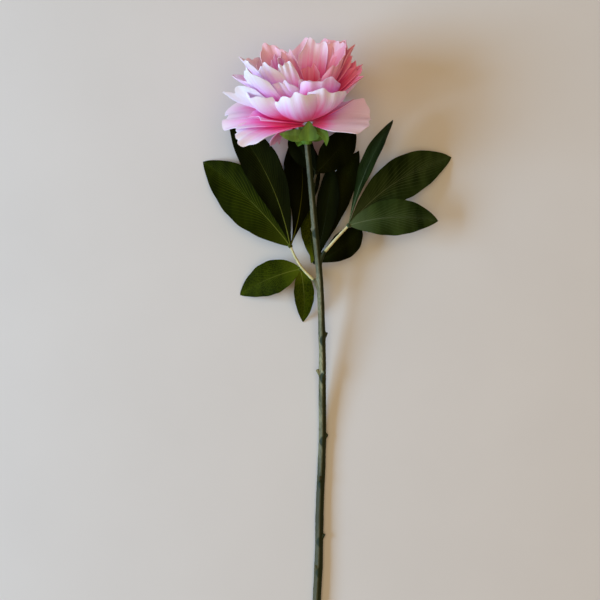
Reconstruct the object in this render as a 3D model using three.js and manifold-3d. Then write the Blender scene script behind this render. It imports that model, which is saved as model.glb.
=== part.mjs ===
// A single double peony on a leafy cut stem, lying on a flat surface.
// Millimetres. +Z is up from the surface, +Y runs along the stem to the bloom, and the origin is
// on the surface, under the middle of the whole piece.
import * as THREE from 'three';
import { mergeVertices } from 'three/addons/utils/BufferGeometryUtils.js';
import Module from 'manifold-3d';

const wasm = await Module();
wasm.setup();

// Driving sizes
const petalThickness = 0.8;
const leafThickness = 0.7;
const sepalThickness = 0.9;
const leafFold = 7; // degrees that each half of a leaflet rises
const sepalFold = 11;
const narrowest = 0.75; // half the width of a blade where it starts and ends
const gap = 0.35; // between pieces that plug into each other
const stemSides = 8;
const stemStations = 30;
const stemRadiusCut = 3.9;
const stemRadiusNeck = 2.45;
const stalkSides = 7;
const hubRadius = 2.4;

// Where the bloom sits: the point that its petals grow from, and how far its axis
// rises from the surface and leans to the side
const bloomBase = new THREE.Vector3(-18.5, 205.8, 47);
const bloomRise = THREE.MathUtils.degToRad(24);
const bloomLean = THREE.MathUtils.degToRad(-11);

// The middle line of the stem, from its cut end to its neck: it lies along the surface,
// then rises to the bloom
const stemLine = [
  [-13.0, -281.0, 3.5], [-9.9, -214.2, 3.38], [-8.2, -179.2, 3.3], [-7.7, -152.3, 3.24],
  [-7.0, -125.4, 3.18], [-5.9, -98.5, 3.2], [-5.0, -71.6, 3.9], [-5.0, -31.0, 7.5],
  [-5.2, 9.5, 13], [-6.4, 49.6, 19.5], [-7.8, 76.0, 24], [-10.1, 99.7, 28],
  [-12.5, 122.3, 32.5], [-14.5, 145.6, 37], [-16.9, 171.3, 41], [-19.2, 192.0, 43.6],
];

const up = new THREE.Vector3(0, 0, 1);
const radians = THREE.MathUtils.degToRad;

// Solids

function solidOf(geometry) {
  const bare = geometry.index ? geometry.toNonIndexed() : geometry.clone();
  bare.deleteAttribute('normal');
  bare.deleteAttribute('uv');
  const merged = mergeVertices(bare, 1e-4);
  return new wasm.Manifold(new wasm.Mesh({
    numProp: 3,
    vertProperties: new Float32Array(merged.attributes.position.array),
    triVerts: new Uint32Array(merged.index.array),
  }));
}

function geometryOf(solid) {
  const mesh = solid.getMesh();
  const geometry = new THREE.BufferGeometry();
  geometry.setAttribute('position', new THREE.BufferAttribute(mesh.vertProperties, 3));
  geometry.setIndex(new THREE.BufferAttribute(mesh.triVerts, 1));
  geometry.computeVertexNormals();
  return geometry;
}

function closedGeometry(points, faces) {
  const geometry = new THREE.BufferGeometry();
  geometry.setFromPoints(points);
  geometry.setIndex(faces.flat());
  return geometry;
}

function joined(solids) {
  return solids.reduce((sum, next) => sum.add(next));
}

// A cut may leave loose scraps, which are dropped
function largestBody(solid) {
  return solid.decompose().reduce((best, body) => (body.volume() > best.volume() ? body : best));
}

// Takes off what would lie below the surface, which leaves a small flat where a piece rests
function restOnSurface(solid) {
  const slab = new THREE.BoxGeometry(600, 900, 40).translate(0, 0, -20);
  return solid.subtract(solidOf(slab));
}

// A round rod of changing radius along a smooth line. extra makes it that much thicker and
// longer at both ends, to cut the space for it out of a neighbour.
function rod(line, radius, sides, stations, extra = 0) {
  const knots = line.map((p) => new THREE.Vector3(...p));
  const radiusAt = (t) => radius(t) + extra;
  const lengthen = (end, next) => end.addScaledVector(end.clone().sub(next).normalize(), extra);
  lengthen(knots[0], knots[1]);
  lengthen(knots.at(-1), knots.at(-2));
  const curve = new THREE.CatmullRomCurve3(knots, false, 'centripetal');
  const points = [];
  const faces = [];
  for (let j = 0; j <= stations; j++) {
    const t = j / stations;
    const centre = curve.getPointAt(t);
    const along = curve.getTangentAt(t);
    const side = new THREE.Vector3().crossVectors(along, up);
    if (side.length() < 0.1) side.set(1, 0, 0);
    side.normalize();
    const over = new THREE.Vector3().crossVectors(side, along);
    for (let i = 0; i < sides; i++) {
      const angle = (2 * Math.PI * (i + 0.5)) / sides;
      points.push(centre.clone()
        .addScaledVector(side, radiusAt(t) * Math.sin(angle))
        .addScaledVector(over, -radiusAt(t) * Math.cos(angle)));
    }
  }
  for (let j = 0; j < stations; j++) {
    for (let i = 0; i < sides; i++) {
      const a = j * sides + i;
      const b = j * sides + ((i + 1) % sides);
      faces.push([a, b + sides, a + sides], [a, b, b + sides]);
    }
  }
  const first = points.push(curve.getPointAt(0)) - 1;
  const last = points.push(curve.getPointAt(1)) - 1;
  for (let i = 0; i < sides; i++) {
    const next = (i + 1) % sides;
    faces.push([first, next, i], [last, stations * sides + i, stations * sides + next]);
  }
  const solid = solidOf(closedGeometry(points, faces));
  return solid.volume() < 0 ? solidOf(closedGeometry(points, faces.map((f) => f.reverse()))) : solid;
}

// A thin sheet: rows of points, given a thickness to both sides of its surface.
// Both faces are split into triangles alike.
function sheet(rows, thickness) {
  const nv = rows.length - 1;
  const nu = rows[0].length - 1;
  const front = [];
  const back = [];
  const clamp = (n, most) => Math.max(0, Math.min(most, n));
  for (let j = 0; j <= nv; j++) {
    for (let i = 0; i <= nu; i++) {
      const across = rows[j][clamp(i + 1, nu)].clone().sub(rows[j][clamp(i - 1, nu)]);
      const along = rows[clamp(j + 1, nv)][i].clone().sub(rows[clamp(j - 1, nv)][i]);
      const normal = across.cross(along).normalize().multiplyScalar(thickness / 2);
      front.push(rows[j][i].clone().add(normal));
      back.push(rows[j][i].clone().sub(normal));
    }
  }
  const size = front.length;
  const at = (i, j) => j * (nu + 1) + i;
  const faces = [];
  for (let j = 0; j < nv; j++) {
    for (let i = 0; i < nu; i++) {
      const [a, b, c, d] = [at(i, j), at(i + 1, j), at(i + 1, j + 1), at(i, j + 1)];
      faces.push([a, b, c], [a, c, d], [a + size, c + size, b + size], [a + size, d + size, c + size]);
    }
  }
  const rim = [];
  for (let i = 0; i < nu; i++) rim.push(at(i, 0));
  for (let j = 0; j < nv; j++) rim.push(at(nu, j));
  for (let i = nu; i > 0; i--) rim.push(at(i, nv));
  for (let j = nv; j > 0; j--) rim.push(at(0, j));
  rim.forEach((a, k) => {
    const b = rim[(k + 1) % rim.length];
    faces.push([b, a, a + size], [b, a + size, b + size]);
  });
  return solidOf(closedGeometry([...front, ...back], faces));
}

// Stem: a tapering stalk with the scars and stubs of side shoots, and four short arms
// that hold the leaf stalks

const scars = [
  // where it stands on the stem, and where its point ends
  { from: [-4.9, 18.5, 14.3], to: [-0.6, 25.2, 16.2], thick: 1.9 },
  { from: [-5.2, -14.5, 9.8], to: [-10.2, -8.0, 12.0], thick: 2.6 },
  { from: [-4.6, -15.5, 10.0], to: [-3.0, -9.5, 15.2], thick: 2.2 },
  { from: [-4.8, -72.5, 4.2], to: [-0.2, -66.0, 5.2], thick: 2.0 },
  { from: [-6.2, -110.5, 3.8], to: [-7.6, -103.9, 8.4], thick: 2.1 },
  { from: [-7.4, -162.5, 3.8], to: [-2.7, -155.6, 5.2], thick: 2.1 },
  { from: [-8.0, -190.0, 3.8], to: [-11.6, -184.0, 7.0], thick: 2.0 },
  { from: [-11.0, -238.0, 3.8], to: [-7.0, -232.0, 6.2], thick: 2.2 },
  { from: [-11.9, 112.5, 30.6], to: [-15.6, 116.6, 32.4], thick: 1.5 },
];
const arms = {
  left: [[-6.8, 60.0, 21.4], [-9.4, 66.0, 22.4], [-13.1, 72.5, 23.0]],
  right: [[-8.2, 84.0, 25.2], [-6.0, 91.2, 26.8], [-3.2, 97.2, 28.0]],
  upper: [[-14.3, 145.5, 37.0], [-13.9, 151.0, 36.6], [-12.6, 156.0, 35.4]],
  back: [[-7.9, 76.5, 23.6], [-8.1, 79.2, 21.8], [-8.7, 81.6, 19.6]],
};

function makeStem(extra) {
  const taper = (t) => stemRadiusCut + (stemRadiusNeck - stemRadiusCut) * t ** 1.25;
  const pieces = [rod(stemLine, taper, stemSides, stemStations, extra)];
  for (const scar of scars) {
    pieces.push(rod([scar.from, scar.to], (t) => scar.thick * (1 - 0.55 * t), 6, 1, extra));
  }
  for (const arm of Object.values(arms)) {
    pieces.push(rod(arm, (t) => 2.1 - 0.35 * t, 7, 3, extra));
  }
  return joined(pieces);
}

// Leaf stalks: slim pale rods that plug into the arms of the stem

const stalks = {
  left: {
    line: [[-11.6, 70.2, 22.8], [-23.2, 82.3, 22.4], [-29.0, 91.5, 21.6], [-33.6, 101.6, 20.6]],
    thick: 1.35,
  },
  right: {
    line: [[-4.5, 95.0, 27.6], [6.9, 108.0, 29.6], [17.6, 119.4, 30.4]],
    thick: 1.4,
  },
  back: {
    line: [[-8.4, 80.6, 20.6], [-9.8, 84.0, 17.0], [-11.3, 87.2, 14.4]],
    thick: 1.3,
  },
  upper: {
    line: [[-13.4, 153.4, 36.2], [-12.2, 159.4, 34.4], [-10.6, 165.2, 32.8]],
    thick: 1.2,
  },
};

function makeStalk(stalk, extra) {
  return rod(stalk.line, (t) => stalk.thick * (1 - 0.2 * t), stalkSides, 6, extra);
}

// Leaves: pointed leaflets that spread from the end of a stalk. Each blade is folded a little
// along its midrib. rise lifts the blade's root above its neighbours, bow swings its middle to
// the left of the way that it points, arch lifts its middle, roll turns it about its midrib,
// and widest is how far along it is broadest.

const leaves = {
  left: {
    stalk: 'left',
    hub: [-33.6, 101.6, 20.2],
    blades: [
      { tip: [-112.2, 178.4, 0.4], width: 47, widest: 0.5, rise: 0, bow: -4.3, arch: 3, roll: -6 },
      { tip: [-88.5, 216.0, 13.0], width: 33, widest: 0.6, rise: 1.4, bow: -8.5, arch: 4, roll: -4 },
      { tip: [-27.7, 203.5, 6.0], width: 33, widest: 0.68, rise: -1.2, bow: -7.5, arch: -3, roll: 4 },
    ],
  },
  low: {
    stalk: 'left',
    hub: [-24.4, 81.4, 20.5],
    blades: [
      { tip: [-78.9, 58.5, 0.4], width: 30, widest: 0.45, rise: 0, bow: -3, arch: 4, roll: 6 },
      { tip: [-22.3, 34.2, 0.4], width: 18, widest: 0.45, rise: 0, bow: 2, arch: 5, roll: -6 },
    ],
  },
  right: {
    stalk: 'right',
    hub: [17.6, 119.4, 30.4],
    blades: [
      { tip: [97.5, 124.0, 17.0], width: 32, widest: 0.5, rise: 0.7, bow: 5, arch: 5, roll: 3 },
      { tip: [111.2, 182.2, 0.4], width: 37, widest: 0.58, rise: -0.5, bow: 8.8, arch: 4, roll: 2 },
      { tip: [56.9, 212.5, 26.0], width: 26, widest: 0.66, rise: 0, bow: 4.5, arch: 5, roll: -62 },
    ],
  },
  back: {
    stalk: 'back',
    hub: [-11.5, 87.5, 14.0],
    blades: [
      { tip: [-18.5, 148.0, 3.0], width: 17, widest: 0.5, rise: 0, bow: 1, arch: 0, roll: -8, neck: 4 },
      { tip: [2.6, 176.0, 9.0], width: 20, widest: 0.6, rise: 0, bow: -3, arch: 3, roll: -8 },
      { tip: [27.9, 187.8, 5.0], width: 24, widest: 0.6, rise: 0, bow: 3, arch: 0, roll: 8 },
      { tip: [29.4, 119.7, 12.0], width: 24, widest: 0.6, rise: 0, bow: -4, arch: 2, roll: 4 },
    ],
  },
  upper: {
    stalk: 'upper',
    hub: [-10.6, 165.2, 32.8],
    blades: [
      { tip: [23.6, 206.0, 17.5], width: 28, widest: 0.5, rise: 0, bow: -1, arch: 1, roll: 6 },
      { tip: [-31.0, 207.0, 14.0], width: 22, widest: 0.55, rise: 0, bow: 2, arch: 0, roll: -6 },
    ],
  },
};

// A pointed blade from its base to its tip. nu and nv are how many strips it has across and
// along, and extra makes it that much bigger all round.
function blade(shape, thickness, nu, nv, extra = 0) {
  const { base, tip, width, widest, bow, arch, roll, fold = leafFold, neck = narrowest } = shape;
  const [from, to] = [new THREE.Vector3(...base), new THREE.Vector3(...tip)];
  const straight = to.clone().sub(from).normalize();
  to.addScaledVector(straight, extra);
  const rightward = new THREE.Vector3().crossVectors(straight, up).normalize();
  const middle = from.clone().add(to).multiplyScalar(0.5)
    .addScaledVector(rightward, -2 * bow)
    .addScaledVector(up, 2 * arch);
  const midrib = new THREE.QuadraticBezierCurve3(from, middle, to);
  const skew = Math.log(0.5) / Math.log(widest);
  const rows = [];
  for (let j = 0; j <= nv; j++) {
    const s = j / nv;
    const centre = midrib.getPoint(s);
    const along = midrib.getTangent(s);
    const side = new THREE.Vector3().crossVectors(along, up).normalize()
      .applyAxisAngle(along, radians(roll));
    const over = new THREE.Vector3().crossVectors(side, along);
    const outline = (width / 2) * Math.max(0, Math.sin(Math.PI * s ** skew)) ** 0.8;
    const half = Math.max(THREE.MathUtils.lerp(neck, narrowest, s), outline) + extra;
    const row = [];
    for (let i = 0; i <= nu; i++) {
      const u = -1 + (2 * i) / nu;
      const lift = Math.abs(u) * half * Math.tan(radians(fold));
      row.push(centre.clone().addScaledVector(side, u * half).addScaledVector(over, lift));
    }
    rows.push(row);
  }
  return sheet(rows, thickness + 2 * extra);
}

function makeLeaf({ stalk, hub, blades }) {
  const [x, y, z] = hub;
  const knuckle = new THREE.SphereGeometry(hubRadius, 8, 6).translate(x, y, z);
  const leaflets = blades.map((b) => blade({ base: [x, y, z + b.rise], ...b }, leafThickness, 2, 9));
  const socket = makeStalk(stalks[stalk], gap);
  return restOnSurface(largestBody(joined([solidOf(knuckle), ...leaflets]).subtract(socket)));
}

// Calyx: a green cup that grips the neck of the stem, with five sepals round the petals

const cupLine = [[-19.0, 189.2, 43.2], [-19.0, 196.0, 44.6], [-18.5, 204.4, 46.6]];
const sepals = [
  { base: [-19.0, 196.0, 50.5], tip: [-42.7, 196.8, 52.5], width: 11, bow: 1, arch: 1, roll: 4 },
  { base: [-13.0, 201.0, 51.0], tip: [-2.5, 186.5, 53.5], width: 8, bow: 4, arch: 3, roll: -10 },
  { base: [-17.2, 191, 50.5], tip: [-17.4, 207.6, 57], width: 17, widest: 0.24, bow: 0, arch: 0, roll: 0 },
  { base: [-14.5, 199.0, 42.0], tip: [-4.0, 196.0, 26.0], width: 12, bow: 0, arch: 0, roll: 30 },
  { base: [-22.5, 198.0, 42.0], tip: [-27.0, 189.0, 30.0], width: 10, bow: 0, arch: 0, roll: -30 },
].map((sepal) => ({ widest: 0.37, fold: sepalFold, ...sepal }));

function makeCalyx(extra) {
  const flare = (t) => 3.4 + 4.4 * Math.sin((Math.PI / 2) * t ** 0.8);
  const cup = rod(cupLine, flare, 12, 6, extra);
  return joined([cup, ...sepals.map((s) => blade(s, sepalThickness, 2, 5, extra))]);
}

// Bloom: petals in rings round a small core. A petal's angle is how far it opens from the
// bloom's axis, in degrees, at its root, its middle and its rim. turn is its place round the
// axis: 0 is to the right, 90 upwards, 180 to the left, 270 towards the surface.

const bloomRight = new THREE.Vector3(Math.cos(bloomLean), -Math.sin(bloomLean), 0);
const bloomForward = new THREE.Vector3(Math.sin(bloomLean), Math.cos(bloomLean), 0);
const bloomAxis = bloomForward.multiplyScalar(Math.cos(bloomRise)).addScaledVector(up, Math.sin(bloomRise));
const bloomUpper = new THREE.Vector3().crossVectors(bloomRight, bloomAxis);

const outerPetals = [
  // turn, length, width, opening at root, middle and rim, height of the root, cup, ruffle,
  // phase of the ruffle, shear, how far along it is full width, twist, and skew of the rim
  // guard petals, flung wide
  [10, 51, 64, 88, 95, 106, 1, 12, 3.0, 0.4, 0, 0.45, -9, 0],
  [-52, 46, 50, 76, 88, 92, 1, 24, 2.2, 2.4, 0, 0.7, 0, 0],
  [182, 69, 60, 60, 76, 92, 1, 12, 4.2, 1.9, 0, 0.5, 6, 0],
  [150, 66, 35, 74, 82, 110, 1, 20, 3.4, 0.9, 0, 0.6, 20, 0],
  [150, 52, 26, 66, 66, 62, 2, 34, 2.8, 2.9, 0, 0.6, 12, 0],
  [212, 38, 26, 92, 122, 150, 1, 26, 2.0, 2.9, 0, 0.7, 0, 0],
  [246, 70, 48, 60, 76, 82, 1, 22, 1.6, 1.2, 0, 0.7, 0, 0],
  [278, 71, 50, 56, 72, 80, 1, 22, 1.6, 2.2, 0, 0.7, 0, 0],
  [308, 69, 48, 60, 76, 82, 1, 22, 1.6, 3.2, 0, 0.7, 0, 0],
  // broad cupped petals, whose outsides face up
  [99, 64, 46, 66, 58, -4, 4, 74, 2.4, 0.6, 0, 0.7, 0, 0],
  [58, 57, 46, 67, 60, 8, 4, 66, 2.4, 2.4, 0, 0.7, 10, 0.16],
  [146, 66, 38, 62, 58, -2, 4, 78, 2.2, 0.2, -0.04, 0.68, 0, 0],
  [162, 71, 36, 59, 54, 34, 5, 26, 2.4, 2.9, -0.04, 0.62, -38, 0],
  [60, 51, 42, 57, 44, 14, 8, 46, 2.2, 1.3, 0.04, 0.65, 12, 0.10],
  [142, 74, 28, 56, 40, 12, 8, 50, 2.4, 0.9, -0.06, 0.65, 0, 0],
  // the bowl
  [180, 68, 44, 42, 50, 40, 8, 34, 3.0, 1.9, 0, 0.7, -10, 0],
  [214, 66, 44, 36, 42, 34, 8, 38, 3.0, 0.9, 0, 0.7, 0, 0],
  [250, 62, 44, 34, 38, 28, 8, 38, 3.0, 0.3, -0.1, 0.7, 0, 0],
  [286, 65, 44, 30, 34, 24, 8, 38, 3.0, 1.3, 0.12, 0.7, 0, 0],
  [316, 66, 44, 34, 38, 28, 8, 38, 3.0, 2.1, 0.1, 0.7, 0, 0],
  [342, 66, 40, 38, 42, 30, 8, 38, 2.8, 2.6, 0.05, 0.7, 0, 0],
  [354, 63, 26, 42, 46, 36, 8, 50, 2.4, 0.6, 0, 0.6, -20, 0],
  [2, 58, 26, 48, 54, 42, 8, 46, 2.4, 1.1, 0, 0.6, -34, 0],
  [12, 61, 26, 54, 58, 50, 8, 46, 2.4, 1.6, 0, 0.6, -30, 0],
  // small petals in front of the left heart
  [104, 48, 20, 50, 36, 14, 10, 40, 1.6, 1.1, -0.14, 0.6, 0, 0],
  [120, 49, 24, 50, 38, 6, 10, 50, 1.6, 2.2, -0.14, 0.6, 0, 0],
  // the left heart
  [118, 62, 23, 42, 24, 4, 10, 60, 1.6, 1.1, -0.22, 0.6, 0, 0],
  [102, 59, 18, 34, 24, 4, 10, 56, 1.6, 2.1, -0.08, 0.6, -10, 0],
  [170, 64, 28, 30, 24, 10, 10, 50, 2.0, 2.8, -0.22, 0.6, 0, 0],
  [250, 63, 28, 20, 18, 4, 10, 46, 2.0, 0.8, -0.2, 0.65, 0, 0],
  [300, 58, 26, 14, 18, 6, 10, 50, 2.0, 1.8, -0.3, 0.65, 0, 0],
  // the right heart
  [262, 62, 29, 22, 20, 4, 8, 44, 1.6, 1.4, 0.34, 0.7, 0, 0],
  [204, 58, 28, 26, 22, 0, 8, 56, 1.6, 2.4, 0.14, 0.7, 0, 0],
  [318, 60, 32, 28, 26, 14, 8, 44, 1.6, 0.4, 0.3, 0.7, 0, 0],
  [352, 58, 30, 28, 26, 8, 8, 50, 1.6, 1.0, 0.28, 0.7, 0, 0],
  [42, 52, 26, 36, 30, 10, 8, 50, 1.6, 2.0, 0.24, 0.6, 0, 0],
  [138, 46, 24, 30, 24, -6, 8, 60, 1.6, 0.2, 0.14, 0.6, 0, 0],
  [100, 43, 22, 36, 30, 4, 8, 66, 1.6, 0.2, 0.14, 0.6, 0, 0],
].map(([turn, length, width, root, middle, rim, height, cup, ruffle, phase, shear, full, twist, skew]) => {
  const open = [root, middle, rim];
  return { turn, length, width, open, height, out: 5, cup, ruffle, phase, shear, full, twist, skew, lean: 0 };
});

// The same draw for the same number, from -1 to 1
function draw(n) {
  const x = Math.sin(n * 12.9898) * 43758.5453;
  return 2 * (x - Math.floor(x)) - 1;
}

// The closest petals inside each heart
const innerRings = [
  // count, turn of the first, length, width, opening, height, out, cup, taller at the back, shear
  [3, 30, 31, 18, [14, 18, -4], 12, 3, 60, 7, 0.3],
  [3, 20, 46, 18, [8, 12, -6], 12, 2, 66, 4, -0.28],
];

function ringPetals([count, firstTurn, length, width, open, height, out, cup, taller, shear], ring) {
  return Array.from({ length: count }, (_, k) => {
    const seed = 10 * k + 1000 * ring + 7;
    const turn = firstTurn + (360 * k) / count + 8 * draw(seed);
    const opened = 6 * draw(seed + 1);
    return {
      turn,
      length: length * (1 + 0.08 * draw(seed + 2)) - taller * Math.sin(radians(turn)),
      width: width * (1 + 0.12 * draw(seed + 3)),
      open: open.map((angle) => angle + opened),
      height,
      out,
      cup: cup * (1 + 0.2 * draw(seed + 4)),
      ruffle: 2.4 + draw(seed + 5),
      phase: Math.PI * (1 + draw(seed + 6)),
      lean: 10 * draw(seed + 7),
      twist: 20 * draw(seed + 8),
      skew: 0,
      shear,
      full: 0.75,
    };
  });
}

function mix(a, shareOfA, b, shareOfB) {
  return a.clone().multiplyScalar(shareOfA).addScaledVector(b, shareOfB);
}

// The rows of points of a petal, from its root to its rim
function petalRows(petal, nu, nv) {
  const turn = radians(petal.turn);
  const outward = mix(bloomRight, Math.cos(turn), bloomUpper, Math.sin(turn));
  const around = mix(bloomRight, -Math.sin(turn), bloomUpper, Math.cos(turn));
  const [root, middle, rim] = petal.open;
  const openAt = (v) => radians(
    root + (4 * middle - 3 * root - rim) * v + (2 * root - 4 * middle + 2 * rim) * v * v,
  );
  const steps = 32;
  const spine = [[petal.out, petal.height]];
  for (let k = 0; k < steps; k++) {
    const open = openAt((k + 0.5) / steps);
    const [r, h] = spine[k];
    spine.push([r + (Math.sin(open) * petal.length) / steps, h + (Math.cos(open) * petal.length) / steps]);
  }
  const rows = [];
  for (let j = 0; j <= nv; j++) {
    const row = [];
    for (let i = 0; i <= nu; i++) {
      const u = -1 + (2 * i) / nu;
      const round = 1 - 0.2 * Math.abs(u) ** 2.8 + 0.03 * Math.sin(5.3 * u + 2.1 * petal.phase);
      const rimLine = round + petal.skew * u;
      const v = (j / nv) * rimLine;
      const k = Math.min(steps - 1, Math.floor(v * steps));
      const part = v * steps - k;
      const r = spine[k][0] * (1 - part) + spine[k + 1][0] * part;
      const h = spine[k][1] * (1 - part) + spine[k + 1][1] * part;
      const swell = 0.26 + 0.74 * Math.sin((Math.min(v / petal.full, 1) * Math.PI) / 2) ** 1.1;
      const half = (petal.width / 2) * swell;
      const cup = radians(petal.cup) * (0.35 + 0.65 * v);
      let x = (half * Math.sin(cup * u)) / cup;
      let n = (half * (1 - Math.cos(cup * u))) / cup;
      n += petal.ruffle * v ** 2.5 * Math.sin(1.5 * Math.PI * u + petal.phase) * (0.45 + 0.55 * Math.abs(u));
      const twist = radians(petal.twist) * v;
      [x, n] = [x * Math.cos(twist) - n * Math.sin(twist), x * Math.sin(twist) + n * Math.cos(twist)];
      x += 0.6 * Math.tan(radians(petal.lean)) * petal.length * v * v;
      const open = openAt(v);
      const inward = mix(outward, -Math.cos(open), bloomAxis, Math.sin(open));
      const point = bloomBase.clone()
        .addScaledVector(outward, r)
        .addScaledVector(bloomAxis, h)
        .addScaledVector(bloomRight, h * petal.shear)
        .addScaledVector(around, x)
        .addScaledVector(inward, n);
      point.z = pressed(point.z);
      row.push(point);
    }
    rows.push(row);
  }
  return rows;
}

// Petals that would pass through the surface are bent to lie along it
function pressed(z) {
  const softness = 1.2;
  const lowest = 0.1;
  return lowest + softness * Math.log1p(Math.exp((z - lowest) / softness));
}

function makeCore() {
  const profile = [[0, -0.8], [6.2, -0.8], [10, 5], [19, 16], [21, 26], [14, 36], [0, 40]];
  const core = new THREE.LatheGeometry(profile.map(([r, h]) => new THREE.Vector2(r, h)), 10);
  core.applyQuaternion(new THREE.Quaternion().setFromUnitVectors(new THREE.Vector3(0, 1, 0), bloomAxis));
  core.translate(bloomBase.x, bloomBase.y, bloomBase.z);
  return solidOf(core);
}

function makeBloom(space) {
  const petals = [
    ...outerPetals.map((p) => sheet(petalRows(p, 4, 4), petalThickness)),
    ...innerRings.flatMap(ringPetals).map((p) => sheet(petalRows(p, 3, 3), petalThickness)),
  ];
  return restOnSurface(largestBody(joined([makeCore(), ...petals]).subtract(space)));
}

// The whole piece

const stemGreen = new THREE.MeshStandardMaterial({ color: 0x6d7760, roughness: 0.6 });
const stalkPale = new THREE.MeshStandardMaterial({ color: 0xcfc88f, roughness: 0.5 });
const leafGreen = new THREE.MeshStandardMaterial({ color: 0x2e3a12, roughness: 0.6 });
const calyxGreen = new THREE.MeshStandardMaterial({ color: 0x5f8a2c, roughness: 0.6 });
const petalPink = new THREE.MeshStandardMaterial({ color: 0xe9a3bd, roughness: 0.7 });

const peony = new THREE.Group();

function place(name, solid, material) {
  const mesh = new THREE.Mesh(geometryOf(solid), material);
  mesh.name = name;
  peony.add(mesh);
}

const stemSpace = makeStem(gap);
place('stem', restOnSurface(makeStem(0)), stemGreen);
place('calyx', largestBody(makeCalyx(0).subtract(stemSpace)), calyxGreen);

for (const [name, stalk] of Object.entries(stalks)) {
  place(`leaf_stalk_${name}`, largestBody(makeStalk(stalk, 0).subtract(stemSpace)), stalkPale);
}

for (const [name, leaf] of Object.entries(leaves)) {
  place(`leaf_${name}`, makeLeaf(leaf), leafGreen);
}

place('bloom', makeBloom(makeCalyx(gap).add(stemSpace)), petalPink);

export default peony;
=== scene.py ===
# A single double peony on a leafy cut stem, lying on a pale surface and seen from above.
# Metres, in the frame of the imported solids: +Z is up from the surface, and +Y runs along the
# stem to the bloom.
import math

import bpy
from mathutils import Matrix, Vector, noise


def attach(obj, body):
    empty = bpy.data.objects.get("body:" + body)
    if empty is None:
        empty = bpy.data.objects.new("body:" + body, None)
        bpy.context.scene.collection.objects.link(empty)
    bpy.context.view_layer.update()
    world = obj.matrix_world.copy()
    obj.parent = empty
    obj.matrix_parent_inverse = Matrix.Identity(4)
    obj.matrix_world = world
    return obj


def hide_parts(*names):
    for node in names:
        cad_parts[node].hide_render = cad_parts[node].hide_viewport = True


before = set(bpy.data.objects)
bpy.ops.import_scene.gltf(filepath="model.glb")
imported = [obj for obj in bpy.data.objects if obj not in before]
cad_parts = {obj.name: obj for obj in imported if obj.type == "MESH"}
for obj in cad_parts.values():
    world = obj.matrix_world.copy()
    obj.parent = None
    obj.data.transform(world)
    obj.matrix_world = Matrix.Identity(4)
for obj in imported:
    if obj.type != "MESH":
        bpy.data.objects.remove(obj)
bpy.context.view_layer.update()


# Camera
# The photograph was taken from straight above, with the whole flower small in a square frame.
# The stem runs out of its lower edge.

view_height = 1.2
view_width = 0.54
view_middle = (-0.025, 0.054)
film_width = 36
bpy.ops.object.camera_add(location=(*view_middle, view_height), rotation=(0, 0, 0))
camera = bpy.context.object
camera.data.sensor_width = film_width
camera.data.lens = film_width * view_height / view_width
bpy.context.scene.camera = camera


# Stem
# One tapering stalk of moulded grey-green plastic, with the scars and stubs of side shoots and
# four short arms for the leaf stalks. Shallow ridges run along it, and it lies on the surface
# below and rises to the bloom above.

stem_radius_cut = 0.0039
stem_radius_neck = 0.00245
stem_skin_grain = 0.0006
ridge_count = 5
ridge_height = 0.06
arm_radius = 0.0021
arm_thinning = 0.00035
scar_thinning = 0.55
scar_stain_reach = 0.0060
line_steps = 400
stem_line = [
    (-13.0, -281.0, 3.5), (-9.9, -214.2, 3.38), (-8.2, -179.2, 3.3), (-7.7, -152.3, 3.24),
    (-7.0, -125.4, 3.18), (-5.9, -98.5, 3.2), (-5.0, -71.6, 3.9), (-5.0, -31.0, 7.5),
    (-5.2, 9.5, 13), (-6.4, 49.6, 19.5), (-7.8, 76.0, 24), (-10.1, 99.7, 28),
    (-12.5, 122.3, 32.5), (-14.5, 145.6, 37), (-16.9, 171.3, 41), (-19.2, 192.0, 43.6),
]
scars = [
    # where it stands on the stem, where its point ends, and how thick it is
    ((-4.9, 18.5, 14.3), (-0.6, 25.2, 16.2), 1.9),
    ((-5.2, -14.5, 9.8), (-10.2, -8.0, 12.0), 2.6),
    ((-4.6, -15.5, 10.0), (-3.0, -9.5, 15.2), 2.2),
    ((-4.8, -72.5, 4.2), (-0.2, -66.0, 5.2), 2.0),
    ((-6.2, -110.5, 3.8), (-7.6, -103.9, 8.4), 2.1),
    ((-7.4, -162.5, 3.8), (-2.7, -155.6, 5.2), 2.1),
    ((-8.0, -190.0, 3.8), (-11.6, -184.0, 7.0), 2.0),
    ((-11.0, -238.0, 3.8), (-7.0, -232.0, 6.2), 2.2),
    ((-11.9, 112.5, 30.6), (-15.6, 116.6, 32.4), 1.5),
]
arms = {
    "left": [(-6.8, 60.0, 21.4), (-9.4, 66.0, 22.4), (-13.1, 72.5, 23.0)],
    "right": [(-8.2, 84.0, 25.2), (-6.0, 91.2, 26.8), (-3.2, 97.2, 28.0)],
    "upper": [(-14.3, 145.5, 37.0), (-13.9, 151.0, 36.6), (-12.6, 156.0, 35.4)],
    "back": [(-7.9, 76.5, 23.6), (-8.1, 79.2, 21.8), (-8.7, 81.6, 19.6)],
}


def mm(point):
    """A point given in millimetres."""
    return Vector(point) / 1000


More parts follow.
